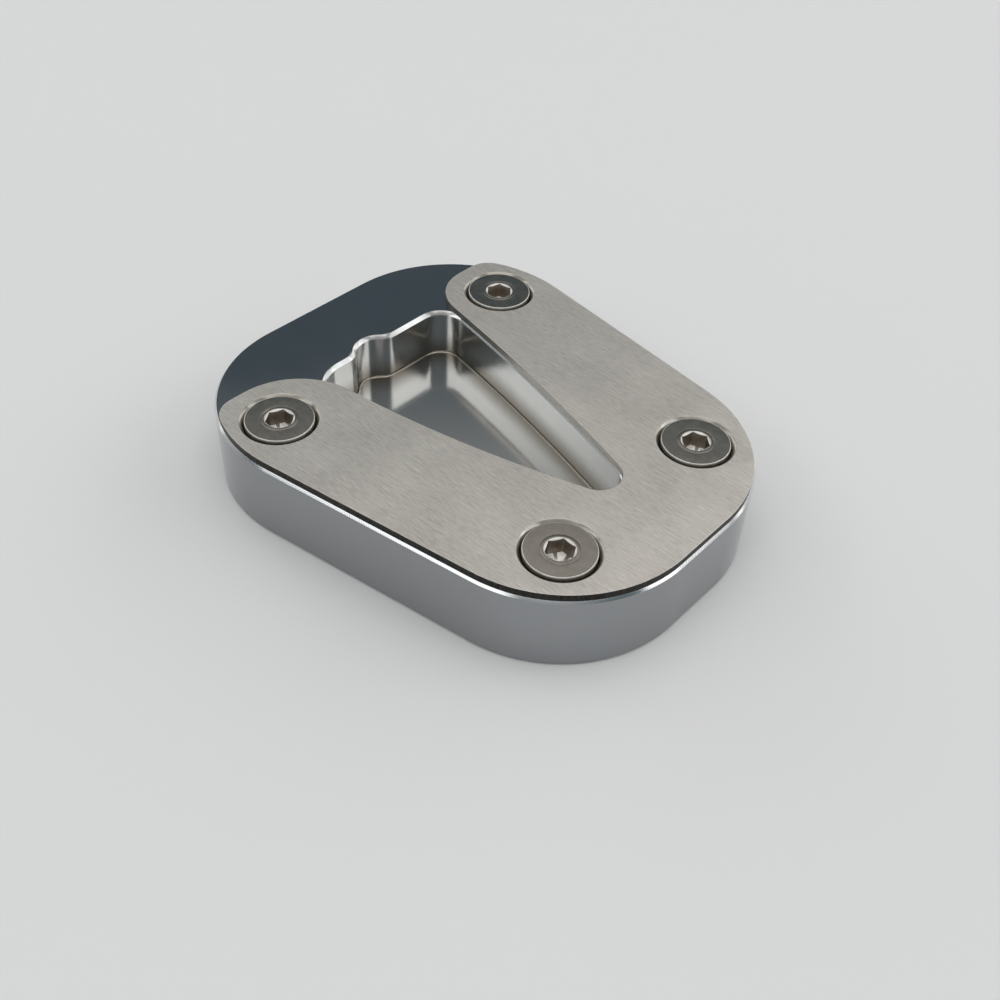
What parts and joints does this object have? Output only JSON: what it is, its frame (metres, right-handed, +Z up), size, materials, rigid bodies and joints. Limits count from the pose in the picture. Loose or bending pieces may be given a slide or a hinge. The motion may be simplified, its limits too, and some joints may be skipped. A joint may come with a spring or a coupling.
{
  "type": "kickstand foot enlarger",
  "caption": "Milled block with a vee-shaped pocket for the foot of a motorbike's side stand, held in by a slotted plate under countersunk socket screws.",
  "frame": {"origin": "middle of the underside, on the face that rests on the ground", "axes": "+X along the block to its narrow end, +Y across it to the right arm of the plate, +Z up out of the pocket"},
  "size_m": [0.0832, 0.0682, 0.0146],
  "materials": {
    "block": "milled and polished, clear",
    "plate": "brushed along its length",
    "screws": "plain, with turned heads"
  },
  "bodies": {
    "root": {"base_body": "block", "clamp_plate": "plate", "clamp_screws": "screws"}
  },
  "joints": []
}
